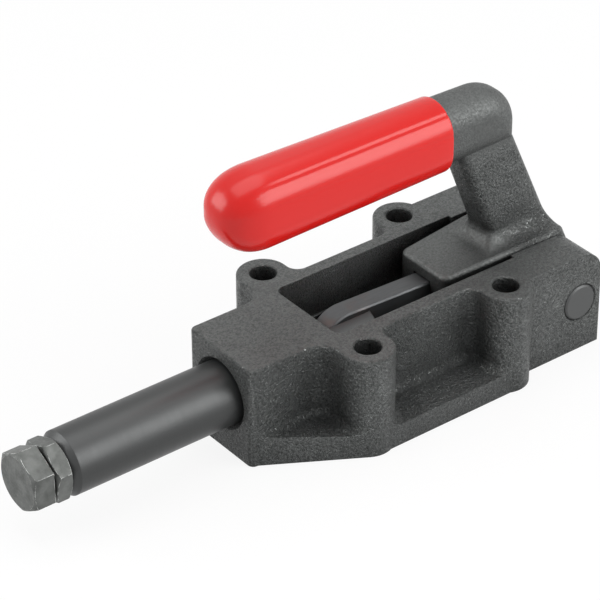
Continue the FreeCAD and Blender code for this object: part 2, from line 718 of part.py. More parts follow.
def cross_pin(name, x, z, diameter, length):
    """Round pin across the clamp with broken ends."""
    body = new_body(name)
    sketch = new_sketch(body, name + "_outline", "XZ_Plane")
    ring(sketch, "0", "0", f"{diameter} / 2")
    pad(body, sketch, length, both_ways=True)
    dress(body, "Chamfer", name + "_ends", "edge_break", round_edge(f"{diameter} / 2"))
    move_to(body, x, z)


def hexagon(sketch, turn):
    corner = "(hex_flats / 2 / cos(30))"
    turns = [f"{turn} + {60 * step}" for step in range(6)]
    outline(sketch, [(f"{corner} * cos({angle})", f"{corner} * sin({angle})") for angle in turns])


def turned_corners(body, name, face_x, outward):
    """Turn the hexagon's corners off at 30 degrees where its face lies at face_x."""
    sketch = new_sketch(body, name, "XZ_Plane")
    inner = "0.96 * hex_flats / 2"
    outer = "(hex_flats / 2 / cos(30) + 1)"
    fall = f"({outer} - {inner}) * tan(30)"
    outline(sketch, [
        (f"{face_x}", inner),
        (f"{face_x} + {outward}", inner),
        (f"{face_x} + {outward}", outer),
        (f"{face_x} - {outward} * {fall}", outer),
    ])
    groove = body.newObject("PartDesign::Groove", name + "Groove")
    groove.Profile = sketch
    groove.ReferenceAxis = (sketch, ["H_Axis"])
    groove.Angle = 360
    doc.recompute()


def spindle_screw():
    """Hexagon head screw, the clamp's adjustable nose."""
    body = new_body("spindle_screw")
    shank = new_sketch(body, "ScrewShank", "YZ_Plane", "-(screw_length)")
    ring(shank, "0", "0", "thread_diameter / 2")
    pad(body, shank, "screw_length")
    dress(body, "Chamfer", "ScrewPoint", "thread_chamfer", at_x("-(screw_length)"))
    head = new_sketch(body, "ScrewHead", "YZ_Plane")
    hexagon(head, "30")
    pad(body, head, "head_height")
    turned_corners(body, "HeadCorners", "head_height", 1)
    move_to(body, "plunger_front_x + nut_height + head_gap", "plunger_height")


def lock_nut():
    """Thin hexagon nut that locks the screw in the plunger."""
    body = new_body("lock_nut")
    nut = new_sketch(body, "NutOutline", "YZ_Plane")
    hexagon(nut, "nut_turn")
    pad(body, nut, "nut_height")
    turned_corners(body, "FrontCorners", "nut_height", 1)
    turned_corners(body, "RearCorners", "0", -1)
    thread = new_sketch(body, "NutThread", "YZ_Plane", "nut_height")
    ring(thread, "0", "0", "thread_diameter / 2 + thread_fit")
    pocket(body, thread, "nut_height + 1")
    move_to(body, "plunger_front_x", "plunger_height")


body_casting()
cross_pin("pivot_pin", "pivot_x", "pivot_height", "pivot_pin_diameter", "2 * (rear_half + pivot_pin_proud)")
plunger()
cross_pin("plunger_pin", "yoke_x", "plunger_height", "joint_pin_diameter", "plunger_diameter - 2")
lock_nut()
spindle_screw()
handle_lever()
cross_pin("link_pin", "arm_x", "arm_height", "joint_pin_diameter", "2 * lug_half - 1")
handle_grip()
toggle_link()
doc.recompute()

NODES = [
    "body_casting", "pivot_pin", "plunger", "plunger_pin", "lock_nut",
    "spindle_screw", "handle_lever", "link_pin", "handle_grip", "toggle_link",
]
for item in doc.Objects:
    if "Invalid" in item.State or "Error" in item.State:
        raise RuntimeError(f"{item.Label}: {item.getStatusString()}")
os.makedirs("parts", exist_ok=True)
for name in NODES:
    shape = doc.getObject(name).Shape
    if shape.isNull() or not shape.isValid() or len(shape.Solids) != 1:
        raise RuntimeError(name + " is not one valid solid")
    shape.exportStep(f"parts/{name}.step")
    print(name, round(shape.Volume, 1), shape.BoundBox)
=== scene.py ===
# %% [markdown]
# # Push-pull clamp
# A push-pull clamp pushes a plunger straight out of a cast body when its handle is thrown over.
# The frame holds every piece at its true size and place. This script gives each piece the surface
# that the real one has, models the soft sleeve of the handle, then sets a floor, soft studio light
# and a camera.

# %% The frame
import math
import bmesh
import bpy
from mathutils import Matrix, Vector


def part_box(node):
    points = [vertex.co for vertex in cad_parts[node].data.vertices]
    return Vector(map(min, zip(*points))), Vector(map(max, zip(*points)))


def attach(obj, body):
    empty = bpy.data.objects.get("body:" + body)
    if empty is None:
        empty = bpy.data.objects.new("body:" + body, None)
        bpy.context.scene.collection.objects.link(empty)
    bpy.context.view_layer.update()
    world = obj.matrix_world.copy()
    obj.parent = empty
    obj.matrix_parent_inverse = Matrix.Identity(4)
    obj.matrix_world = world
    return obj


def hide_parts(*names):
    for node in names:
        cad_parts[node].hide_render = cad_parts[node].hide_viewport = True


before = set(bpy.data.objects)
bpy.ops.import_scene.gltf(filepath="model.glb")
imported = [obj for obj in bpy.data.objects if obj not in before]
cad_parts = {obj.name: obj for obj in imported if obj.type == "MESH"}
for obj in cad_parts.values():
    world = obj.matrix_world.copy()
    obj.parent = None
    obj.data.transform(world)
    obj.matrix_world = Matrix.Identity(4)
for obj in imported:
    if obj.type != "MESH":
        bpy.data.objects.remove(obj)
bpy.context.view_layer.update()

MM = 0.001

# %% [markdown]
# ## Small helpers for colour and nodes
# Colours are easiest to pick as the hex values that a screen shows. Shaders work in linear light,
# so one function turns the hex into linear values. A second one adds a shader node with its
# settings and links in one call, which keeps each material readable from top to bottom. The others
# are the few combinations of nodes that every finish here is made of.

# %% Colour and node helpers
def linear(hex_colour):
    """An sRGB hex colour as linear red, green, blue and an alpha of one."""
    channels = [int(hex_colour[i:i + 2], 16) / 255 for i in (1, 3, 5)]
    return [c / 12.92 if c <= 0.04045 else ((c + 0.055) / 1.055) ** 2.4 for c in channels] + [1.0]


def add(tree, kind, settings=(), **links):
    """Add a node. Settings go on its properties, and links or values on its inputs."""
    node = tree.nodes.new(kind)
    for name, value in dict(settings).items():
        setattr(node, name, value)
    for name, value in links.items():
        key = int(name[1:]) if name[0] == "i" and name[1:].isdigit() else name.replace("_", " ")
        if isinstance(value, bpy.types.NodeSocket):
            tree.links.new(value, node.inputs[key])
        else:
            node.inputs[key].default_value = value
    return node


def new_material(name):
    """An empty material with its shader, its output and Object coordinates."""
    material = bpy.data.materials.new(name)
    material.use_nodes = True
    tree = material.node_tree
    tree.nodes.clear()
    shader = tree.nodes.new("ShaderNodeBsdfPrincipled")
    output = tree.nodes.new("ShaderNodeOutputMaterial")
    tree.links.new(shader.outputs["BSDF"], output.inputs["Surface"])
    spot = tree.nodes.new("ShaderNodeTexCoord").outputs["Object"]
    return material, tree, shader, spot


def ramp(tree, factor, low, high, low_value=0.0, high_value=1.0):
    """A straight ramp from one value to another while the factor goes from low to high."""
    return add(tree, "ShaderNodeMapRange", Value=factor, From_Min=low, From_Max=high,
               To_Min=low_value, To_Max=high_value).outputs[0]


def maths(tree, operation, first, second):
    """One sum on two values."""
    return add(tree, "ShaderNodeMath", {"operation": operation}, i0=first, i1=second).outputs[0]


def blend(tree, factor, first, second):
    """A colour between two colours."""
    node = add(tree, "ShaderNodeMix", {"data_type": "RGBA"})
    for socket, value in ((0, factor), (6, first), (7, second)):
        if isinstance(value, bpy.types.NodeSocket):
            tree.links.new(value, node.inputs[socket])
        else:
            node.inputs[socket].default_value = value
    return node.outputs[2]


# At a scale of 1 the lumps of the noise are about this far across, in metres.
NOISE_LUMP = 0.6
# Most of the noise lies between the first two values, and nearly all of it between the other two.
NOISE_LOW, NOISE_HIGH = 0.35, 0.65
NOISE_LEAST, NOISE_MOST = 0.3, 0.7


def grain(tree, spot, size_mm, detail=2.0, roughness=0.5):
    """Noise whose lumps are about size_mm across."""
    return add(tree, "ShaderNodeTexNoise", Vector=spot, Scale=NOISE_LUMP / (size_mm * MM),
               Detail=detail, Roughness=roughness).outputs["Fac"]


def bump(tree, height, depth_mm, normal=None):
    """Bump from a 0 to 1 height pattern that is depth_mm deep."""
    node = add(tree, "ShaderNodeBump", Height=height, Distance=depth_mm * MM, Strength=1.0)
    if normal is not None:
        tree.links.new(normal, node.inputs["Normal"])
    return node.outputs["Normal"]


print("lumps of 1 mm need a noise scale of", NOISE_LUMP / MM)

# %% [markdown]
# ## Rounded and worn edges
# No real edge is sharp. Castings leave the mould with rounded edges, and machined or sheared ones
# are broken with a file, so each edge catches a thin line of light. Averaging the surface's
# direction over a small radius gives that line. Where the averaged direction turns away from the
# true one the piece has an edge, which is also where a coating wears first.

# %% Soft edges
EDGE_SAMPLES = 8


def soft_edge(tree, radius_mm):
    """The direction of the surface, averaged so that edges look rounded."""
    node = add(tree, "ShaderNodeBevel", {"samples": EDGE_SAMPLES}, Radius=radius_mm * MM)
    return node.outputs["Normal"]


def edge_mask(tree, soft_normal, begin, full):
    """1 on an edge and 0 on a face: how far the averaged direction leans from the true one."""
    flat = tree.nodes.new("ShaderNodeNewGeometry").outputs["True Normal"]
    agreement = add(tree, "ShaderNodeVectorMath", {"operation": "DOT_PRODUCT"}, i0=soft_normal, i1=flat)
    return ramp(tree, agreement.outputs["Value"], begin, full)


print("samples for each soft edge:", EDGE_SAMPLES)

# %% [markdown]
# ## Where the skins are sandy
# A skin isn't the same all over. The top of the casting was milled flat and keeps only the bottoms
# of its pits. The forging is roughest on its riser and hub, where nothing rubs, and smoother on its
# lug and on the bar above. A mask says where: it reads how high, or how far along, a place on the
# piece is. A short ramp at its borders keeps a line from showing.

# %% Milled tops and blasted riser
MILLED_BEGINS, MILLED_FULL = 36.9, 37.1
MILLED_SAND = 0.6
LUG_ENDS, RISER_BEGINS = 40.0, 46.0
RISER_ENDS, BAR_BEGINS = 70.0, 76.0
HUB_FULL, HUB_ENDS = -50.0, -42.0
GROUND_SAND = 0.3


def milled_tops(tree, spot):
    """The casting is sandy all over, and less so on the tops that were milled flat."""
    height = add(tree, "ShaderNodeSeparateXYZ", Vector=spot).outputs["Z"]
    return ramp(tree, height, MILLED_BEGINS * MM, MILLED_FULL * MM, 1.0, MILLED_SAND)


def blasted_riser(tree, spot):
    """The forging is sandy on its riser and hub. Its lug and the bar above were ground smoother."""
    place = add(tree, "ShaderNodeSeparateXYZ", Vector=spot).outputs
    above_lug = ramp(tree, place["Z"], LUG_ENDS * MM, RISER_BEGINS * MM)
    below_bar = ramp(tree, place["Z"], RISER_ENDS * MM, BAR_BEGINS * MM, 1.0, 0.0)
    hub = ramp(tree, place["X"], HUB_FULL * MM, HUB_ENDS * MM, 1.0, 0.0)
    riser = maths(tree, "MULTIPLY", above_lug, below_bar)
    hub_or_riser = maths(tree, "MAXIMUM", riser, maths(tree, "MULTIPLY", hub, below_bar))
    return ramp(tree, hub_or_riser, 0.0, 1.0, GROUND_SAND, 1.0)


print("share of the sand left: milled", MILLED_SAND, "and ground", GROUND_SAND)

# %% [markdown]
# ## Phosphated cast and forged iron
# The body is sand cast and the handle is drop forged. Both are phosphated and oiled, which turns
# the iron a dark grey that keeps a dull metal sheen and shows every grain of the skin. An open face
# mirrors the pale studio and looks mid grey, while a hollow mirrors its own dark walls, so it is
# shaded as a rough, mostly metallic dark grey. The skin has two scales: broad waves from the mould,
# and grains about as large as coarse sand with pits between them. The crests of the sand are lighter
# than its pits, partly as the grain's own tone and partly as painted glints. Ambient occlusion
# darkens the colour in the hollows, which is painted shade.

# %% Cast and forged skins
MOULD_WAVE_MM = 6.0
SAND_MM = 0.5
SKIN_EDGE_MM = 0.5
HOLLOW_REACH_MM = 25.0
HOLLOW_SAMPLES = 8
PIT, CREST = 0.36, 0.64
FLATTEST_WAVE = 0.5
DEEP_HOLLOW, OPEN_FACE = 0.3, 0.85
HOLLOW_SHADE_TONE, PIT_TONE, SMOOTH_TONE = 0.25, 0.3, 0.68
PIT_ROUGHNESS, CREST_ROUGHNESS = 0.5, 0.22
SMOOTH_ROUGHNESS_ADDED = 0.14


def phosphated(name, dark, light, sand_depth_mm, sandy_places):
    material, tree, shader, spot = new_material(name)
    wave = grain(tree, spot, MOULD_WAVE_MM)
    sand = grain(tree, spot, SAND_MM, detail=4.0, roughness=0.7)
    lumps = ramp(tree, sand, PIT, CREST)
    sandy = sandy_places(tree, spot)
    waved = ramp(tree, wave, NOISE_LOW, NOISE_HIGH, FLATTEST_WAVE, 1.0)
    depth = maths(tree, "MULTIPLY", waved, sandy)
    skin = maths(tree, "MULTIPLY", lumps, depth)
    # Painted shade: ambient occlusion darkens the colour in hollows, down to the hollow tone.
    open_air = add(tree, "ShaderNodeAmbientOcclusion", {"samples": HOLLOW_SAMPLES},
                   Distance=HOLLOW_REACH_MM * MM).outputs["AO"]
    hollow_shade = ramp(tree, open_air, DEEP_HOLLOW, OPEN_FACE, HOLLOW_SHADE_TONE, 1.0)
    # Crests lighter than pits: partly the grain's own tone, partly painted glints on the crests.
    grain_and_glint_tone = ramp(tree, lumps, 0.0, 1.0, PIT_TONE, 1.0)
    tone = maths(tree, "MULTIPLY", hollow_shade, ramp(tree, sandy, 0.0, 1.0, SMOOTH_TONE, grain_and_glint_tone))
    tree.links.new(blend(tree, tone, linear(dark), linear(light)), shader.inputs["Base Color"])
    shader.inputs["Metallic"].default_value = 0.85
    sheen = ramp(tree, sand, NOISE_LOW, NOISE_HIGH, PIT_ROUGHNESS, CREST_ROUGHNESS)
    smooth = ramp(tree, sandy, GROUND_SAND, 1.0, SMOOTH_ROUGHNESS_ADDED, 0.0)
    tree.links.new(maths(tree, "ADD", sheen, smooth), shader.inputs["Roughness"])
    worn = soft_edge(tree, SKIN_EDGE_MM)
    tree.links.new(bump(tree, skin, sand_depth_mm, worn), shader.inputs["Normal"])
    return material


cast_iron = phosphated("phosphated_cast_iron", dark="#141515", light="#666867",
                       sand_depth_mm=0.4, sandy_places=milled_tops)
forged_steel = phosphated("phosphated_forged_steel", dark="#161717", light="#6A6C6B",
                          sand_depth_mm=0.32, sandy_places=blasted_riser)
print("sandy skins:", cast_iron.name, forged_steel.name)

# %% [markdown]
# ## Black oxide steel
# The plunger and the pins are turned and ground, then blackened. The bath is only a micron thick, so
# the steel keeps its shine: a dark metal with a soft, wide highlight and hardly visible turning
# lines that run round the bar. The lines are a noise whose lumps are packed tightly along the bar's
# own axis, which is X for the plunger and Y for the pins.

# %% Turned and blackened bars
TURNING_LUMP_MM, TURNING_TIGHTNESS = 9.0, 40.0
MATT_MM, MATT_DEPTH_MM = 0.5, 0.02
CLOUD_MM = 6.0
LINE_DEPTH_MM = 0.008
LINE_SHARE, CLOUD_SHARE = 0.6, 0.4
SHINIER, DULLER = 0.05, 0.07
GROUND_EDGE_MM = 0.3
X_AXIS, Y_AXIS = 0, 1


def blackened(name, colour, roughness, turning_axis):
    material, tree, shader, spot = new_material(name)
    tightness = [1.0, 1.0, 1.0]
    tightness[turning_axis] = TURNING_TIGHTNESS
    packed = add(tree, "ShaderNodeMapping", Vector=spot, Scale=tightness).outputs["Vector"]
    lines = grain(tree, packed, TURNING_LUMP_MM, detail=3.0)
    matt = grain(tree, spot, MATT_MM, detail=2.0)
    cloud = grain(tree, spot, CLOUD_MM)
    shader.inputs["Base Color"].default_value = linear(colour)
    shader.inputs["Metallic"].default_value = 0.8
    lined = maths(tree, "MULTIPLY", lines, LINE_SHARE)
    wear = maths(tree, "ADD", lined, maths(tree, "MULTIPLY", cloud, CLOUD_SHARE))
    worn = ramp(tree, wear, NOISE_LEAST, NOISE_MOST, roughness - SHINIER, roughness + DULLER)
    tree.links.new(worn, shader.inputs["Roughness"])
    fine = bump(tree, matt, MATT_DEPTH_MM, soft_edge(tree, GROUND_EDGE_MM))
    tree.links.new(bump(tree, lines, LINE_DEPTH_MM, fine), shader.inputs["Normal"])
    return material


black_bar = blackened("black_oxide_steel", "#484949", roughness=0.42, turning_axis=X_AXIS)
black_pin = blackened("black_oxide_pin", "#575858", roughness=0.5, turning_axis=Y_AXIS)
print("blackened bars:", black_bar.name, black_pin.name)

# %% [markdown]
# ## Oiled rolled bar of the link
# The link is cut from rolled bar and only oiled. It is lighter than the phosphated pieces and has
# fine scratches along its length, which are a noise drawn out along X. Here and there the bar
# carries a breath of rust, in patches a few millimetres wide.

# %% Rolled link
SCRATCH_MM, SCRATCH_DEPTH_MM = 0.5, 0.03
SCRATCH_DRAWN_OUT = 0.15
SCRATCH_SHINE, SCRATCH_DULL = 0.38, 0.55
RUST_PATCH_MM, RUST_SHARE = 7.0, 0.35
RUST_BEGINS, RUST_FULL = 0.58, 0.75
SHEARED_EDGE_MM = 0.4


def rolled_bar(name, colour, rust):
    material, tree, shader, spot = new_material(name)
    drawn = add(tree, "ShaderNodeMapping", Vector=spot, Scale=(SCRATCH_DRAWN_OUT, 1.0, 1.0))
    scratches = grain(tree, drawn.outputs["Vector"], SCRATCH_MM, detail=3.0)
    cloud = grain(tree, spot, RUST_PATCH_MM)
    rusted = ramp(tree, cloud, RUST_BEGINS, RUST_FULL, 0.0, RUST_SHARE)
    tree.links.new(blend(tree, rusted, linear(colour), linear(rust)), shader.inputs["Base Color"])
    shader.inputs["Metallic"].default_value = 0.6
    dull = ramp(tree, scratches, NOISE_LEAST, NOISE_MOST, SCRATCH_SHINE, SCRATCH_DULL)
    tree.links.new(dull, shader.inputs["Roughness"])
    scratched = bump(tree, scratches, SCRATCH_DEPTH_MM, soft_edge(tree, SHEARED_EDGE_MM))
    tree.links.new(scratched, shader.inputs["Normal"])
    return material


rolled_steel = rolled_bar("oiled_rolled_steel", colour="#525455", rust="#6A4436")
print("link:", rolled_steel.name)

# %% [markdown]
# ## Thread of the screw
# The rolled M12 thread shows only when the screw is turned out of the plunger. It is too fine to
# need faces of its own, so it is a bump: a triangle wave along the screw that moves on by one pitch
# a turn. The turn is the angle round the screw's axis, and the head is masked out.

# %% The thread as a height
screw_low, screw_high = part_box("spindle_screw")
SCREW_HEIGHT = (screw_low.z + screw_high.z) / 2
HEAD_HEIGHT = 7.5 * MM
HEAD_BACK_X = screw_high.x - HEAD_HEIGHT
THREAD_RADIUS = 6.0 * MM
THREAD_PITCH = 1.75 * MM
THREAD_DEPTH_MM = 1.0
# The wave runs from 0 to 0.5, and is flat below the first value and above the second.
THREAD_ROOT, THREAD_CREST = 0.06, 0.44


def thread_ridge(tree, spot):
    """1 on the thread's crest and off the shank, and 0 in the bottom of its groove."""
    place = add(tree, "ShaderNodeSeparateXYZ", Vector=spot).outputs
    upward = maths(tree, "SUBTRACT", place["Z"], SCREW_HEIGHT)
    turn = maths(tree, "DIVIDE", maths(tree, "ARCTAN2", upward, place["Y"]), 2.0 * math.pi)
    climb = maths(tree, "DIVIDE", place["X"], THREAD_PITCH)
    wave = maths(tree, "PINGPONG", maths(tree, "SUBTRACT", climb, turn), 0.5)
    arm = add(tree, "ShaderNodeCombineXYZ", Y=place["Y"], Z=upward).outputs["Vector"]
    reach = add(tree, "ShaderNodeVectorMath", {"operation": "LENGTH"}, i0=arm).outputs["Value"]
    off_side = ramp(tree, reach, THREAD_RADIUS + 0.02 * MM, THREAD_RADIUS + 0.08 * MM)
    at_head = ramp(tree, place["X"], HEAD_BACK_X - 0.6 * MM, HEAD_BACK_X - 0.3 * MM)
    plain = maths(tree, "MAXIMUM", off_side, at_head)
    return maths(tree, "MAXIMUM", ramp(tree, wave, THREAD_ROOT, THREAD_CREST), plain)


print("thread on x in mm:", round(screw_low.x / MM, 1), "to", round(HEAD_BACK_X / MM, 1))

# %% [markdown]
# ## Dark zinc on the screw and nut
# Hexagon screws are headed cold and plated. The plating is thin and slightly rough, with small
# bright chips where a spanner has touched the corners. A chip is a place that is an edge and where
# a noise is high. On the screw, the grooves of the thread are painted dark, as painted shade.

# %% Plated screw and nut
PLATE_PIT_MM, PLATE_PIT_DEPTH_MM = 0.5, 0.04
PLATE_CLOUD_MM = 3.0
PLATE_SHINE, PLATE_DULL = 0.42, 0.6
CHIP_MM = 1.2
CHIP_BEGINS, CHIP_FULL = 0.45, 0.55
HEADED_EDGE_MM = 0.35
EDGE_BEGINS, EDGE_FULL = 0.985, 0.95
GROOVE_SHADE = "#161716"


def plated(name, colour, light, chip, threaded):
    material, tree, shader, spot = new_material(name)
    pits = grain(tree, spot, PLATE_PIT_MM, detail=3.0)
    cloud = grain(tree, spot, PLATE_CLOUD_MM)
    soft = soft_edge(tree, HEADED_EDGE_MM)
    knocks = ramp(tree, grain(tree, spot, CHIP_MM, detail=3.0), CHIP_BEGINS, CHIP_FULL)
    chipped = maths(tree, "MULTIPLY", edge_mask(tree, soft, EDGE_BEGINS, EDGE_FULL), knocks)
    plain = blend(tree, ramp(tree, cloud, NOISE_LOW, NOISE_HIGH), linear(colour), linear(light))
    coat = blend(tree, chipped, plain, linear(chip))
    direction = soft
    if threaded:
        ridge = thread_ridge(tree, spot)
        # Painted shade: the thread's grooves get a dark colour.
        coat = blend(tree, ridge, linear(GROOVE_SHADE), coat)
        direction = bump(tree, ridge, THREAD_DEPTH_MM, soft)
    tree.links.new(coat, shader.inputs["Base Color"])
    shader.inputs["Metallic"].default_value = 0.6
    pitted = ramp(tree, pits, NOISE_LEAST, NOISE_MOST, PLATE_SHINE, PLATE_DULL)
    tree.links.new(pitted, shader.inputs["Roughness"])
    tree.links.new(bump(tree, pits, PLATE_PIT_DEPTH_MM, direction), shader.inputs["Normal"])
    return material


zinc_nut = plated("dark_zinc_nut", colour="#565856", light="#6C6E6C", chip="#C0C2C0", threaded=False)
zinc_screw = plated("dark_zinc_screw", colour="#535553", light="#696B69", chip="#C0C2C0", threaded=True)
print("plated finishes:", zinc_nut.name, zinc_screw.name)

# %% [markdown]
# ## Dipped vinyl
# The sleeve is soft PVC, dipped hot on a former. It has a closed glossy skin with a very slight
# orange peel, and a deep red that fills in where light enters the wall. So it is a plastic with a
# little light under its skin, and the red goes further into it than green or blue.

# %% Red vinyl
PEEL_MM, PEEL_DEPTH_MM = 7.0, 0.05


def dipped_vinyl(name, colour):
    material, tree, shader, spot = new_material(name)
    peel = grain(tree, spot, PEEL_MM)
    shader.inputs["Base Color"].default_value = linear(colour)
    shader.inputs["Roughness"].default_value = 0.24
    shader.inputs["IOR"].default_value = 1.53
    shader.inputs["Specular IOR Level"].default_value = 0.38
    shader.inputs["Subsurface Weight"].default_value = 0.08
    shader.inputs["Subsurface Radius"].default_value = (1.0, 0.2, 0.1)
    shader.inputs["Subsurface Scale"].default_value = 1.5 * MM
    tree.links.new(bump(tree, peel, PEEL_DEPTH_MM), shader.inputs["Normal"])
    return material


red_vinyl = dipped_vinyl("dipped_red_vinyl", "#CE1009")
print("sleeve's skin:", red_vinyl.name)

# %% [markdown]
# ## Sleeve
# The sleeve was dipped on a smooth former and then pulled over the forged bar. So it is one closed
# bag: a round crown, a swelling along each flank between two soft creases where the bar's long
# edges press from inside, and a nose like a bullet. A ring of edges is the simplest start. It is
# shaped into the section and extruded from station to station, first out along the bag's inside,
# then round the lip and along its skin, and it is drawn in along a curve at the nose. That keeps
# every face a quad up to the poles, and gives the bag an inside and a lip of its own.

# %% Sleeve sizes in mm
OPEN_X, FRONT_X = -20.0, 71.5
OPEN_HALF, FRONT_HALF = 10.5, 12.0
OPEN_TOP, FRONT_TOP = 97.9, 99.3
OPEN_UNDER, FRONT_UNDER = 71.6, 71.4
CROWN_RADIUS = 10.4
NOSE_BEGINS_X, TIP_X = 52.0, 69.2
NOSE_POWER_ACROSS, NOSE_POWER_UP = 2.4, 2.1
NOSE_LIFT = 1.5
LIP_ROUND, LIP_INSIDE = 0.6, 0.4
SLEEVE_WALL = 1.35
BAR_OPEN_UNDER, BAR_FRONT_UNDER = 72.7, 71.4
BAR_RADIUS, BAR_END_X = 7.85, 58.05
print("sleeve from x", OPEN_X, "to", TIP_X, "mm with a wall of", SLEEVE_WALL)

# %% Section of the bag
# Each crease has its turn from the crown in degrees and its depth in mm.
CREASES = ((42.0, 0.22), (83.0, 0.16))
CREASE_WIDTH = 3.2
CREASE_FADES_X, CREASE_FADE_LENGTH = 60.0, 14.0


def between(first, last, x):
    """A size that changes evenly from the open end to the front."""
    return first + (last - first) * (x - OPEN_X) / (FRONT_X - OPEN_X)


def crease_depth(turn, x):
    """How far the skin is pressed in at this turn from the crown, in mm."""
    side = abs((turn + 180.0) % 360.0 - 180.0)
    pressed = sum(deep * math.exp(-((side - at) / CREASE_WIDTH) ** 2) for at, deep in CREASES)
    return pressed * min(1.0, max(0.0, (CREASE_FADES_X - x) / CREASE_FADE_LENGTH))


def bag_point(x, turn, half, top, under, radius, inset=0.0):
    """A point of a section with round corners. 0 degrees is the crown and 90 the near flank."""
    aside, upward = math.sin(math.radians(turn)), math.cos(math.radians(turn))
    y = (radius - inset) * aside + math.copysign(half - radius, aside)
    z = (radius - inset) * upward + math.copysign((top - under) / 2 - radius, upward)
    return Vector((x, y, z + (top + under) / 2))


print("deepest crease in mm:", max(deep for at, deep in CREASES))

# %% Inside and skin
def inner_point(x, turn):
    """A point of the bag's inside, which fits the bar."""
    half = between(OPEN_HALF, FRONT_HALF, x) - SLEEVE_WALL
    top = between(OPEN_TOP, FRONT_TOP, x) - SLEEVE_WALL
    under = between(BAR_OPEN_UNDER, BAR_FRONT_UNDER, x) + SLEEVE_WALL
    return bag_point(x, turn, half, top, under, BAR_RADIUS)


def skin_point(x, turn, inset):
    """A point of the bag's skin, drawn in towards the nose."""
    half, top = between(OPEN_HALF, FRONT_HALF, x), between(OPEN_TOP, FRONT_TOP, x)
    under = between(OPEN_UNDER, FRONT_UNDER, x)
    point = bag_point(x, turn, half, top, under, CROWN_RADIUS, inset + crease_depth(turn, x))
    into_nose = min(1.0, max(0.0, (x - NOSE_BEGINS_X) / (TIP_X - NOSE_BEGINS_X)))
    across = (1.0 - into_nose ** NOSE_POWER_ACROSS) ** (1.0 / NOSE_POWER_ACROSS)
    up = (1.0 - into_nose ** NOSE_POWER_UP) ** (1.0 / NOSE_POWER_UP)
    middle = (top + under) / 2
    return Vector((x, point.y * across, middle + NOSE_LIFT * (1.0 - up) + (point.z - middle) * up))


print("crown of the open end in mm:", [round(v, 1) for v in skin_point(OPEN_X, 0.0, 0.0)])

# %% Stations along the bag
LIP_STATIONS, STRAIGHT_STATIONS, NOSE_STATIONS = 6, 14, 24


def sleeve_stations():
    """A function of the turn for each ring: the inside, the lip, the straight part and the nose."""
    inside = [lambda turn: inner_point(BAR_END_X, turn),
              lambda turn: inner_point(OPEN_X + LIP_INSIDE, turn)]
    lip_turns = [math.radians(90 / LIP_STATIONS * step) for step in range(LIP_STATIONS, -1, -1)]
    lip = [(OPEN_X + LIP_ROUND * (1 - math.sin(a)), LIP_ROUND * (1 - math.cos(a))) for a in lip_turns]
    begin = lip[-1][0]
    straight = [(begin + (NOSE_BEGINS_X - begin) * step / STRAIGHT_STATIONS, 0.0)
                for step in range(1, STRAIGHT_STATIONS)]
    nose_turns = [math.radians(90 * step / NOSE_STATIONS) for step in range(NOSE_STATIONS)]
    nose = [(NOSE_BEGINS_X + (TIP_X - NOSE_BEGINS_X) * math.sin(a), 0.0) for a in nose_turns]
    skin = [lambda turn, x=x, inset=inset: skin_point(x, turn, inset)
            for x, inset in lip + straight + nose]
    return inside + skin


print("rings of the sleeve:", len(sleeve_stations()))

# %% The bag itself
RING_VERTICES = 128


def close_end(mesh, rim, pole_x):
    """Fan a rim of edges to one pole that lies further along X."""
    cap = bmesh.ops.contextual_create(mesh, geom=rim)["faces"]
    pole = bmesh.ops.poke(mesh, faces=cap)["verts"][0]
    pole.co.x = pole_x * MM


def make_sleeve():
    mesh = bmesh.new()
    bmesh.ops.create_circle(mesh, cap_ends=False, segments=RING_VERTICES, radius=1.0)
    turn_of = mesh.verts.layers.float.new("turn")
    for vertex in mesh.verts:
        vertex[turn_of] = math.degrees(math.atan2(vertex.co.x, vertex.co.y)) + 180.0 / RING_VERTICES
    stations = sleeve_stations()
    edges = list(mesh.edges)
    first_ring = list(edges)
    for vertex in mesh.verts:
        vertex.co = stations[0](vertex[turn_of]) * MM
    for station in stations[1:]:
        extruded = bmesh.ops.extrude_edge_only(mesh, edges=edges)["geom"]
        ring = {item for item in extruded if isinstance(item, bmesh.types.BMVert)}
        for vertex in ring:
            vertex.co = station(vertex[turn_of]) * MM
        edges = [e for e in extruded if isinstance(e, bmesh.types.BMEdge) and set(e.verts) <= ring]
    close_end(mesh, edges, TIP_X)
    close_end(mesh, first_ring, BAR_END_X)
    bmesh.ops.recalc_face_normals(mesh, faces=list(mesh.faces))
    for face in mesh.faces:
        face.smooth = True
    data = bpy.data.meshes.new("vinyl_sleeve")
    mesh.to_mesh(data)
    mesh.free()
    sleeve = bpy.data.objects.new("vinyl_sleeve", data)
    bpy.context.scene.collection.objects.link(sleeve)
    data.materials.append(red_vinyl)
    return sleeve


sleeve = make_sleeve()
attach(sleeve, "handle")
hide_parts("handle_grip")
corners = [sleeve.matrix_world @ vertex.co for vertex in sleeve.data.vertices]
print("sleeve faces", len(sleeve.data.polygons), "x in mm",
      round(min(c.x for c in corners) * 1000, 1), round(max(c.x for c in corners) * 1000, 1))

# %% [markdown]
# ## Putting the finishes on
# The other pieces are rigid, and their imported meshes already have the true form. They keep those
# meshes, and only the material in their slots changes. One table says which piece has which finish.

# %% Finishes of the CAD pieces
FINISHES = {
    "body_casting": cast_iron,
    "handle_lever": forged_steel,
    "toggle_link": rolled_steel,
    "plunger": black_bar,
    "pivot_pin": black_pin,
    "link_pin": black_pin,
    "plunger_pin": black_pin,
    "lock_nut": zinc_nut,
    "spindle_screw": zinc_screw,
    "handle_grip": red_vinyl,
}
for node_name, material in FINISHES.items():
    for material_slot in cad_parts[node_name].material_slots:
        material_slot.material = material
print("finished nodes:", len(FINISHES))

# %% [markdown]
# ## Floor
# A white sweep shows a dark object best. To the camera and in reflections the sweep is white paper
# that glows a little, which is what a lit studio looks like. A small share of it is ordinary paper,
# so the piece keeps a faint shadow. Light that falls on the object still comes from the lamps.

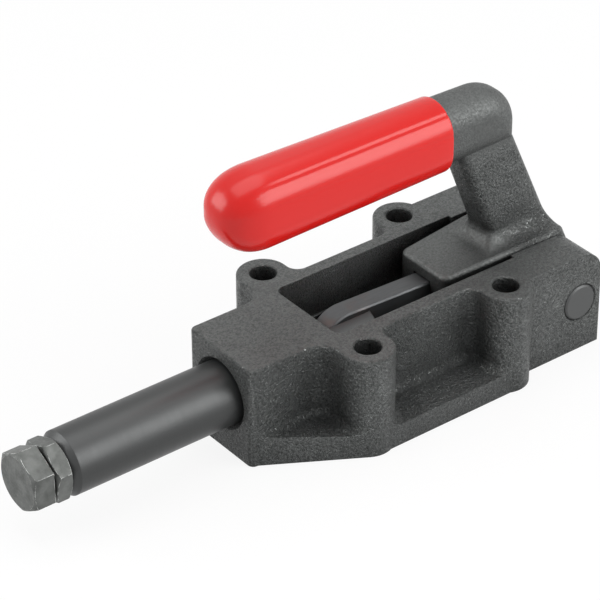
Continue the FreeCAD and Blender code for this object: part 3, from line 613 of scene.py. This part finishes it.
# %% Rays that see the white sweep
def sees_sweep(tree):
    """1 for rays that come straight from the camera, a reflection or a clear piece."""
    rays = tree.nodes.new("ShaderNodeLightPath").outputs
    mirrored = maths(tree, "MAXIMUM", rays["Is Glossy Ray"], rays["Is Transmission Ray"])
    return maths(tree, "MAXIMUM", rays["Is Camera Ray"], mirrored)


print("the sweep glows for camera, glossy and transmission rays")

# %% White paper
SWEEP_GLOW = 0.88
FLOOR_HALF = 3.0
# The paper lies this far under the base, so that the two faces don't flicker.
FLOOR_DROP = 0.2 * MM


def white_floor():
    mesh = bmesh.new()
    bmesh.ops.create_grid(mesh, x_segments=1, y_segments=1, size=FLOOR_HALF)
    data = bpy.data.meshes.new("floor")
    mesh.to_mesh(data)
    mesh.free()
    floor = bpy.data.objects.new("floor", data)
    bpy.context.scene.collection.objects.link(floor)
    material, tree, shader = new_material("white_paper")[:3]
    shader.inputs["Base Color"].default_value = linear("#F2F2F2")
    shader.inputs["Roughness"].default_value = 0.9
    paper = shader.outputs["BSDF"]
    glow = add(tree, "ShaderNodeEmission", Color=linear("#FFFFFF"), Strength=1.0).outputs["Emission"]
    share = maths(tree, "MULTIPLY", sees_sweep(tree), SWEEP_GLOW)
    mixed = add(tree, "ShaderNodeMixShader", i0=share, i1=paper, i2=glow)
    tree.links.new(mixed.outputs["Shader"], tree.nodes["Material Output"].inputs["Surface"])
    floor.data.materials.append(material)
    floor.location.z = -FLOOR_DROP
    print("floor glow:", SWEEP_GLOW)


white_floor()

# %% [markdown]
# ## World and lamps
# The light is that of a product photograph: one large softbox on each side and one above, and a pale
# world that fills the shadows. Large lamps keep the highlights on the vinyl and the bar soft. The
# world counts as full white only for the rays that see the sweep.

# %% World
FILL_STRENGTH = 0.28


def studio_world(strength):
    world = bpy.data.worlds.new("studio")
    world.use_nodes = True
    tree = world.node_tree
    background = tree.nodes["Background"]
    background.inputs["Color"].default_value = linear("#FFFFFF")
    tree.links.new(ramp(tree, sees_sweep(tree), 0.0, 1.0, strength, 1.0), background.inputs["Strength"])
    bpy.context.scene.world = world
    print("world strength on the object:", strength)


studio_world(FILL_STRENGTH)

# %% Softboxes, with places and sizes in metres and power in watts
LIT_SPOT = (0.02, 0, 0.03)


def softbox(name, place, size, power):
    light = bpy.data.lights.new(name, "AREA")
    light.shape = "RECTANGLE"
    light.size, light.size_y = size
    light.energy = power
    lamp = bpy.data.objects.new(name, light)
    lamp.location = place
    lamp.rotation_euler = (Vector(LIT_SPOT) - Vector(place)).to_track_quat("-Z", "Y").to_euler()
    bpy.context.scene.collection.objects.link(lamp)
    print("softbox", name, power, "W")


softbox("right", place=(-0.5, 0.72, 0.48), size=(0.8, 0.7), power=8.0)
softbox("left", place=(0.8, -0.5, 0.45), size=(0.7, 0.6), power=5.2)
softbox("top", place=(0.0, -0.1, 0.95), size=(0.9, 0.8), power=4.6)

# %% [markdown]
# ## Camera
# The camera stands where the photograph was taken from. Its place, its aim and its long lens were
# fitted to the four bolt holes and the upright edges, and it leans by about a third of a degree. A
# matrix with the camera's own right, up and back directions sets all of that at once.

# %% Camera at the photograph's angle
SENSOR_MM, LENS_MM = 36.0, 180.66
CAMERA_PLACE_MM = (529.09, 639.95, 576.03)
CAMERA_AIM_MM = (35.05, 0.21, 43.08)
CAMERA_LEAN = 0.3
NEAR_CLIP, FAR_CLIP = 0.05, 20.0


def photo_camera():
    camera_data = bpy.data.cameras.new("camera")
    camera_data.sensor_width = SENSOR_MM
    camera_data.lens = LENS_MM
    camera_data.clip_start, camera_data.clip_end = NEAR_CLIP, FAR_CLIP
    camera = bpy.data.objects.new("camera", camera_data)
    place = Vector(CAMERA_PLACE_MM) * MM
    aim = Vector(CAMERA_AIM_MM) * MM
    lean = math.radians(CAMERA_LEAN)
    back = (place - aim).normalized()
    right = Vector((0, 0, 1)).cross(back).normalized()
    up = back.cross(right)
    turned_right = right * math.cos(lean) - up * math.sin(lean)
    turned_up = back.cross(turned_right)
    turn = Matrix((turned_right, turned_up, back)).transposed()
    camera.matrix_world = Matrix.Translation(place) @ turn.to_4x4()
    bpy.context.scene.collection.objects.link(camera)
    bpy.context.scene.camera = camera
    print("camera right", [round(v, 4) for v in turned_right], "up", [round(v, 4) for v in turned_up])


photo_camera()
bpy.context.scene.view_settings.view_transform = "Standard"
